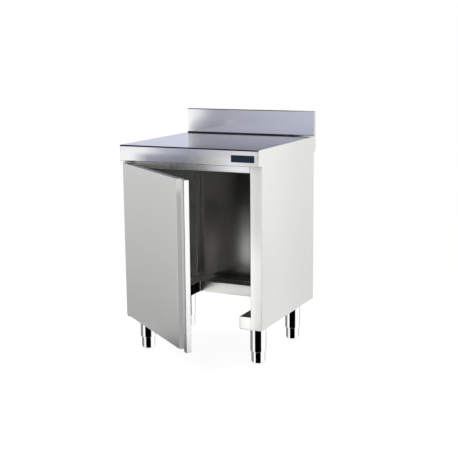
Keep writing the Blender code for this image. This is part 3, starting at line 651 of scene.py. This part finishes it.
# Camera: in front to the right and a little above the worktop, as in the photograph. Its lens follows from
# the focal length in pixels of the photograph's frame.
CAMERA_PLACE = (1.7747, -3.4855, 1.2610)
CAMERA_AZIMUTH = math.radians(25.459)
CAMERA_ELEVATION = math.radians(10.762)
CAMERA_ROLL = math.radians(0.517)
SENSOR_WIDTH = 36.0
IMAGE_WIDTH = 458
FOCAL_PIXELS = 994.349
lens = bpy.data.cameras.new("camera")
lens.sensor_fit = "HORIZONTAL"
lens.sensor_width = SENSOR_WIDTH
lens.lens = FOCAL_PIXELS / IMAGE_WIDTH * SENSOR_WIDTH
camera = bpy.data.objects.new("camera", lens)
camera.matrix_world = (Matrix.Translation(CAMERA_PLACE) @ Matrix.Rotation(CAMERA_AZIMUTH, 4, "Z")
                       @ Matrix.Rotation(math.radians(90) - CAMERA_ELEVATION, 4, "X")
                       @ Matrix.Rotation(-CAMERA_ROLL, 4, "Z"))
bpy.context.scene.collection.objects.link(camera)
bpy.context.scene.camera = camera
bpy.context.scene.view_settings.view_transform = "Standard"

# Studio floor: a pale ground that keeps a faint shadow of the cabinet. It runs out to white away from it, and
# the steel mirrors it as white.
FLOOR_SIZE = 30.0
FLOOR_GLOW = 0.90
FLOOR_COLOUR = (0.25, 0.25, 0.25, 1.0)
WHITE = (1.0, 1.0, 1.0, 1.0)
SHADOW_REACH = 0.8
WHITE_REACH = 2.0


def seen_directly(tree):
    """Two signals: 1 for rays from the camera, a mirror or glass, and 1 for rays from a mirror alone."""
    path = tree.nodes.new("ShaderNodeLightPath")
    straight, mirrored, through = (Signal(path.outputs[name]) for name in
                                   ("Is Camera Ray", "Is Glossy Ray", "Is Transmission Ray"))
    either = straight.math("MAXIMUM", straight, mirrored)
    return either.math("MAXIMUM", either, through), mirrored


floor_mesh = bpy.data.meshes.new("floor")
ground = bmesh.new()
bmesh.ops.create_grid(ground, x_segments=1, y_segments=1, size=FLOOR_SIZE / 2)
ground.to_mesh(floor_mesh)
ground.free()
floor = bpy.data.objects.new("floor", floor_mesh)
bpy.context.scene.collection.objects.link(floor)
paint = bpy.data.materials.new("pale_floor")
paint.use_nodes = True
tree = paint.node_tree
tree.nodes.remove(tree.nodes["Principled BSDF"])
seen, mirrored = seen_directly(tree)
place = Signal(tree.nodes.new("ShaderNodeTexCoord").outputs["Object"])
distance = place.node("VectorMath", {"operation": "LENGTH"}, {0: place}, 1)
away = distance.node("MapRange", {"interpolation_type": "SMOOTHSTEP"},
                     {"Value": distance, "From Min": SHADOW_REACH, "From Max": WHITE_REACH})
glow = seen.node("Emission", {}, {"Color": WHITE, "Strength": FLOOR_GLOW * seen})
matt = seen.node("BsdfDiffuse", {}, {"Color": FLOOR_COLOUR})
lit = seen.node("AddShader", {}, {0: glow, 1: matt})
white = seen.node("Emission", {}, {"Color": WHITE, "Strength": 1.0})
surface = seen.node("MixShader", {}, {0: seen.math("MAXIMUM", mirrored, away * seen), 1: lit, 2: white})
tree.links.new(surface.socket, tree.nodes["Material Output"].inputs["Surface"])
floor_mesh.materials.append(paint)

# Studio surround: white wherever it is seen or mirrored, and an even light on the cabinet. The light is
# weaker than the white, so that pale steel doesn't clip.
WORLD_LIGHT = 0.55
world = bpy.data.worlds.new("studio")
bpy.context.scene.world = world
world.use_nodes = True
tree = world.node_tree
seen = seen_directly(tree)[0]
backdrop = tree.nodes["Background"]
backdrop.inputs["Color"].default_value = WHITE
tree.links.new((WORLD_LIGHT + (1.0 - WORLD_LIGHT) * seen).socket, backdrop.inputs["Strength"])

# Studio boards: flat cards round the cabinet, out of the camera's sight, that the steel mirrors. Each glows
# in greys and throws no light or shadow. A flag is a dark one, and a mat lies on the floor.
BOARD_THICKNESS = 0.001
NEAR_FRONT = -0.20
MIDDLE_FRONT = -0.60
FAR_FRONT = -1.42
FAR_LEFT = -1.95
FAR_RIGHT = -0.15
CEILING = 2.0
LEFT_BACK = 1.6
BACK = 1.0
POST_FRONT = -0.235
RIGHT_BACK = 0.75
MAT_LEVEL = 0.004
COOL_TINT = (-0.06, -0.03, 0.14)


def glowing(name, stops, axis, start, extent):
    """A paint whose glow runs through the stops, which are places along one axis."""
    paint = bpy.data.materials.new(name)
    paint.use_nodes = True
    tree = paint.node_tree
    tree.nodes.remove(tree.nodes["Principled BSDF"])
    place = Signal(tree.nodes.new("ShaderNodeTexCoord").outputs["Object"])
    share = (place.node("SeparateXYZ", {}, {"Vector": place}, "XYZ".index(axis)) - start) * (1 / extent)
    shares = [((along - start) / extent, colour) for along, colour in stops]
    colour = share.node("ValToRGB", {"stops": shares}, {"Fac": share})
    glow = colour.node("Emission", {}, {"Color": colour, "Strength": 1.0})
    tree.links.new(glow.socket, tree.nodes["Material Output"].inputs["Surface"])
    return paint


def mirror_board(name, bm, paint):
    """A board that only mirrors see."""
    mesh = bpy.data.meshes.new(name)
    bm.to_mesh(mesh)
    bm.free()
    mesh.materials.append(paint)
    board = bpy.data.objects.new(name, mesh)
    bpy.context.scene.collection.objects.link(board)
    board.visible_camera = False
    board.visible_diffuse = False
    board.visible_shadow = False
    board.visible_transmission = False
    board.visible_volume_scatter = False


def card(name, low, high, stops, axis="X"):
    """A thin board between two corners. Its greys run along one axis."""
    low, high = Vector(low), Vector(high)
    size = high - low
    bm = bmesh.new()
    bmesh.ops.create_cube(bm, size=1.0)
    bmesh.ops.scale(bm, verts=bm.verts, vec=[max(length, BOARD_THICKNESS) for length in size])
    bmesh.ops.translate(bm, verts=bm.verts, vec=(low + high) / 2)
    along = "XYZ".index(axis)
    mirror_board(name, bm, glowing(name, stops, axis, low[along], size[along]))


def grey(level, blue=0.0):
    """A grey, a little cooler if blue is more than 0."""
    return tuple(level * (1 + tint * blue) for tint in COOL_TINT)


def even(level, blue=0.0):
    """The stops of a board in one grey."""
    return [(0.0, grey(level, blue)), (1.0, grey(level, blue))]


# In front, for the rail and the worktop's front edge.
card("rail_card", (-0.18, NEAR_FRONT, 0.735), (0.205, NEAR_FRONT, 0.784),
     [(-0.12, grey(0.06, 0.4)), (-0.01, grey(0.25, 0.4)), (0.13, grey(1.0, 0.4))])
card("fascia_near_card", (0.0, NEAR_FRONT, 0.784), (0.30, NEAR_FRONT, 0.816),
     [(0.0, grey(0.36)), (0.16, grey(0.92)), (0.28, grey(0.72))])
card("fascia_low_card", (-0.62, MIDDLE_FRONT, 0.70), (0.15, MIDDLE_FRONT, 0.766),
     [(-0.54, grey(1.15)), (-0.45, grey(0.36, 1)), (-0.26, grey(0.28, 1)), (0.0, grey(0.92))])
card("fascia_high_card", (-0.61, MIDDLE_FRONT, 0.766), (0.15, MIDDLE_FRONT, 0.805),
     [(-0.47, grey(1.12)), (-0.36, grey(0.60, 1)), (-0.23, grey(0.40, 1)), (0.0, grey(0.86))])

# Far in front at the left and overhead, for the upstand and for the worktop that mirrors it.
card("upstand_high_card", (FAR_LEFT, FAR_FRONT, 0.755), (FAR_RIGHT, FAR_FRONT, 0.86),
     [(-1.22, grey(1.25)), (-1.13, grey(0.42, 1)), (-0.50, grey(0.62, 1))])
card("upstand_mid_card", (FAR_LEFT, FAR_FRONT, 0.71), (FAR_RIGHT, FAR_FRONT, 0.755),
     [(-1.30, grey(1.9)), (-1.24, grey(0.28, 1)), (-0.50, grey(0.64, 1))])
card("upstand_left_card", (FAR_LEFT, FAR_FRONT, 0.50), (-0.95, FAR_FRONT, 0.71),
     [(-1.32, grey(2.2)), (-1.28, grey(0.20, 1))])
card("upstand_low_card", (FAR_LEFT, FAR_FRONT, 0.86), (FAR_RIGHT, FAR_FRONT, 1.045),
     [(-1.30, grey(0.50, 1)), (-0.50, grey(0.70, 1))])
card("worktop_rear_card", (FAR_LEFT, FAR_FRONT, 1.045), (FAR_RIGHT, FAR_FRONT, 1.118),
     [(-1.31, grey(1.1)), (-1.28, grey(0.40, 1)), (-0.85, grey(0.50, 1))])
card("worktop_front_card", (FAR_LEFT, FAR_FRONT, 1.118), (FAR_RIGHT, FAR_FRONT, 1.18),
     [(-1.28, grey(1.8)), (-1.25, grey(0.48, 1)), (-0.85, grey(0.56, 1))])
card("upper_flag", (-2.2, FAR_FRONT, 1.18), (0.0, FAR_FRONT, CEILING), even(0.02, 2))
card("ceiling_flag", (-3.0, -4.25, CEILING), (-0.2, 5.0, CEILING), even(0.02, 2))

# Behind, for the worktop.
card("left_back_card", (-1.9, LEFT_BACK, 0.3), (-0.55, LEFT_BACK, 1.2), even(0.73, 1))
card("left_back_flag", (-1.9, LEFT_BACK, 1.2), (-0.55, LEFT_BACK, CEILING), even(0.02))
card("back_card", (-0.545, BACK, 1.0), (0.6, BACK, CEILING),
     [(1.05, grey(0.33)), (1.3, grey(0.06))], axis="Z")

# Close in front of the right door post, and at the right, for the post and the right side.
card("post_left_card", (0.13, POST_FRONT, 0.08), (0.198, POST_FRONT, 0.765),
     [(0.39, grey(1.32)), (0.56, grey(1.0))], axis="Z")
card("post_right_card", (0.198, POST_FRONT, 0.08), (0.255, POST_FRONT, 0.765),
     [(0.08, grey(0.88)), (0.38, grey(0.98)), (0.53, grey(0.75))], axis="Z")
card("side_rear_card", (0.36, RIGHT_BACK, 0.0), (0.57, RIGHT_BACK, 0.95),
     [(0.0, grey(0.79)), (0.95, grey(0.88))], axis="Z")
card("side_front_card", (0.57, RIGHT_BACK, 0.0), (0.80, RIGHT_BACK, 0.95),
     [(0.0, grey(0.89)), (0.95, grey(1.06))], axis="Z")
card("side_mat", (0.31, 0.2, MAT_LEVEL), (0.80, RIGHT_BACK, MAT_LEVEL), even(0.86))
card("corner_flag", (0.9, -0.35, 0.0), (0.9, 0.19, 0.95), even(0.02), axis="Y")

# Round the door, for its front, its free edge and its grip.
card("door_card", (-0.60, -0.48, 0.0), (-0.60, 0.45, 0.79),
     [(0.0, grey(0.50)), (0.79, grey(0.79))], axis="Z")
card("door_mat", (-0.60, -0.42, MAT_LEVEL), (-0.40, -0.12, MAT_LEVEL), even(0.42))
card("edge_card", (1.3, -1.1, 0.0), (1.3, -0.2, 1.0), even(1.5), axis="Y")
card("edge_mat", (0.6, -0.8, MAT_LEVEL), (1.3, -0.45, MAT_LEVEL), even(1.35))
card("grip_card", (0.045, -0.50, 0.0), (0.148, -0.50, 0.73),
     [(0.0, grey(0.43, 0.2)), (0.73, grey(0.58, 0.2))], axis="Z")

# Inside the cabinet and under it, for what shows through the opening. The flags are painted shade: dark
# boards where the cabinet's shade falls inside it and its shadow lies under it. The inside glow is a glowing
# board that puts a highlight on the back panel.
# Painted shade in the left channel and on the rear channel's ledge.
card("channel_shade_flag", (-0.2005, 0.10, 0.156), (-0.2005, 0.363, 0.204), even(0.0), axis="Y")
card("channel_card", (-0.29, 0.15, 0.085), (0.06, 0.15, 0.152), even(0.92))
# A painted shadow: a dark mat on the floor under the cabinet, where its shadow lies.
card("under_shadow_flag", (-0.19, -0.09, 0.006), (0.19, 0.30, 0.006), even(0.04))
card("inside_glow", (-0.23, 0.05, 0.178), (-0.165, 0.05, 0.48),
     [(0.27, grey(1.85)), (0.36, grey(0.7)), (0.48, grey(0.1))], axis="Z")
card("ledge_shade_flag", (-0.19, 0.37, 0.213), (0.19, 0.452, 0.213), even(0.02))
card("leg_shade_flag", (-0.192, -0.05, 0.113), (-0.192, 0.13, 0.152), even(0.02), axis="Y")

# On the floor, behind for the back panel and in front for the hem under the front edge.
card("rear_mat", (-1.8, 0.95, MAT_LEVEL), (1.8, 4.0, MAT_LEVEL),
     [(0.95, grey(0.45)), (4.0, grey(0.80))], axis="Y")
card("hem_mat", (-0.40, -0.42, MAT_LEVEL), (0.30, -0.14, MAT_LEVEL), even(0.02))
card("front_mat", (-0.60, -1.10, MAT_LEVEL), (0.55, -0.42, MAT_LEVEL), even(0.04))

# Curved studio boards: bent cards close round each leg, which give the polished tubes their dark and grey
# stripes. One more in front of the door grip's lip draws the dark line of its bend.
BOARD_STEPS = 16
LEG_BOARD_RADIUS = 0.050
LEG_STRIPES = (("grey", -141, -60, 0.28), ("left", -60, -34, 1.1), ("dark", -34, 31, 0.0),
               ("right", 31, 102, 1.1), ("pale", 102, 141, 0.35))
LIP_BOARD_RADIUS = 0.018
LIP_BOARD_START = -170
LIP_BOARD_END = -40
LIP_BOARD_LEVEL = 0.03


def curved_card(name, axis, radius, top, start, end, level):
    """A board that stands on the floor, bent round an upright axis between two bearings in degrees."""
    bm = bmesh.new()
    upright = [bm.verts.new((radius, 0, z)) for z in (0.0, top)]
    bm.edges.new(upright)
    bmesh.ops.rotate(bm, verts=bm.verts, cent=(0, 0, 0), matrix=Matrix.Rotation(math.radians(start), 3, "Z"))
    bmesh.ops.spin(bm, geom=bm.verts[:] + bm.edges[:], cent=(0, 0, 0), axis=(0, 0, 1),
                   angle=math.radians(end - start), steps=BOARD_STEPS)
    bmesh.ops.translate(bm, verts=bm.verts, vec=axis)
    mirror_board(name, bm, glowing(name, even(level), "Z", 0.0, 1.0))


for corner in corner_names:
    low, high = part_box(corner + "_leg_sleeve")
    axis = Vector(((low.x + high.x) / 2, (low.y + high.y) / 2, 0))
    to_camera = camera.location - axis
    bearing = math.degrees(math.atan2(to_camera.y, to_camera.x))
    for tone, start, end, level in LEG_STRIPES:
        curved_card(corner + "_" + tone + "_card", axis, LEG_BOARD_RADIUS, side_low.z,
                    bearing + start, bearing + end, level)
lip_corner = door_place @ Vector((door_right, lip_front, 0))
curved_card("lip_line_card", lip_corner, LIP_BOARD_RADIUS, TOP_LEVEL, LIP_BOARD_START, LIP_BOARD_END,
            LIP_BOARD_LEVEL)

# Studio lamp: a large soft box high at the front left, turned towards the middle of the cabinet. The steel
# doesn't mirror it.
LAMP_POWER = 30.0
LAMP_WIDTH = 2.0
LAMP_HEIGHT = 1.5
LAMP_PLACE = (-1.2, -2.2, 2.8)
LAMP_AIM = (0.0, 0.0, 0.4)
lamp = bpy.data.lights.new("softbox", "AREA")
lamp.shape = "RECTANGLE"
lamp.size = LAMP_WIDTH
lamp.size_y = LAMP_HEIGHT
lamp.energy = LAMP_POWER
softbox = bpy.data.objects.new("softbox", lamp)
softbox.location = LAMP_PLACE
softbox.rotation_mode = "QUATERNION"
softbox.rotation_quaternion = (softbox.location - Vector(LAMP_AIM)).to_track_quat("Z", "Y")
softbox.visible_glossy = False
bpy.context.scene.collection.objects.link(softbox)
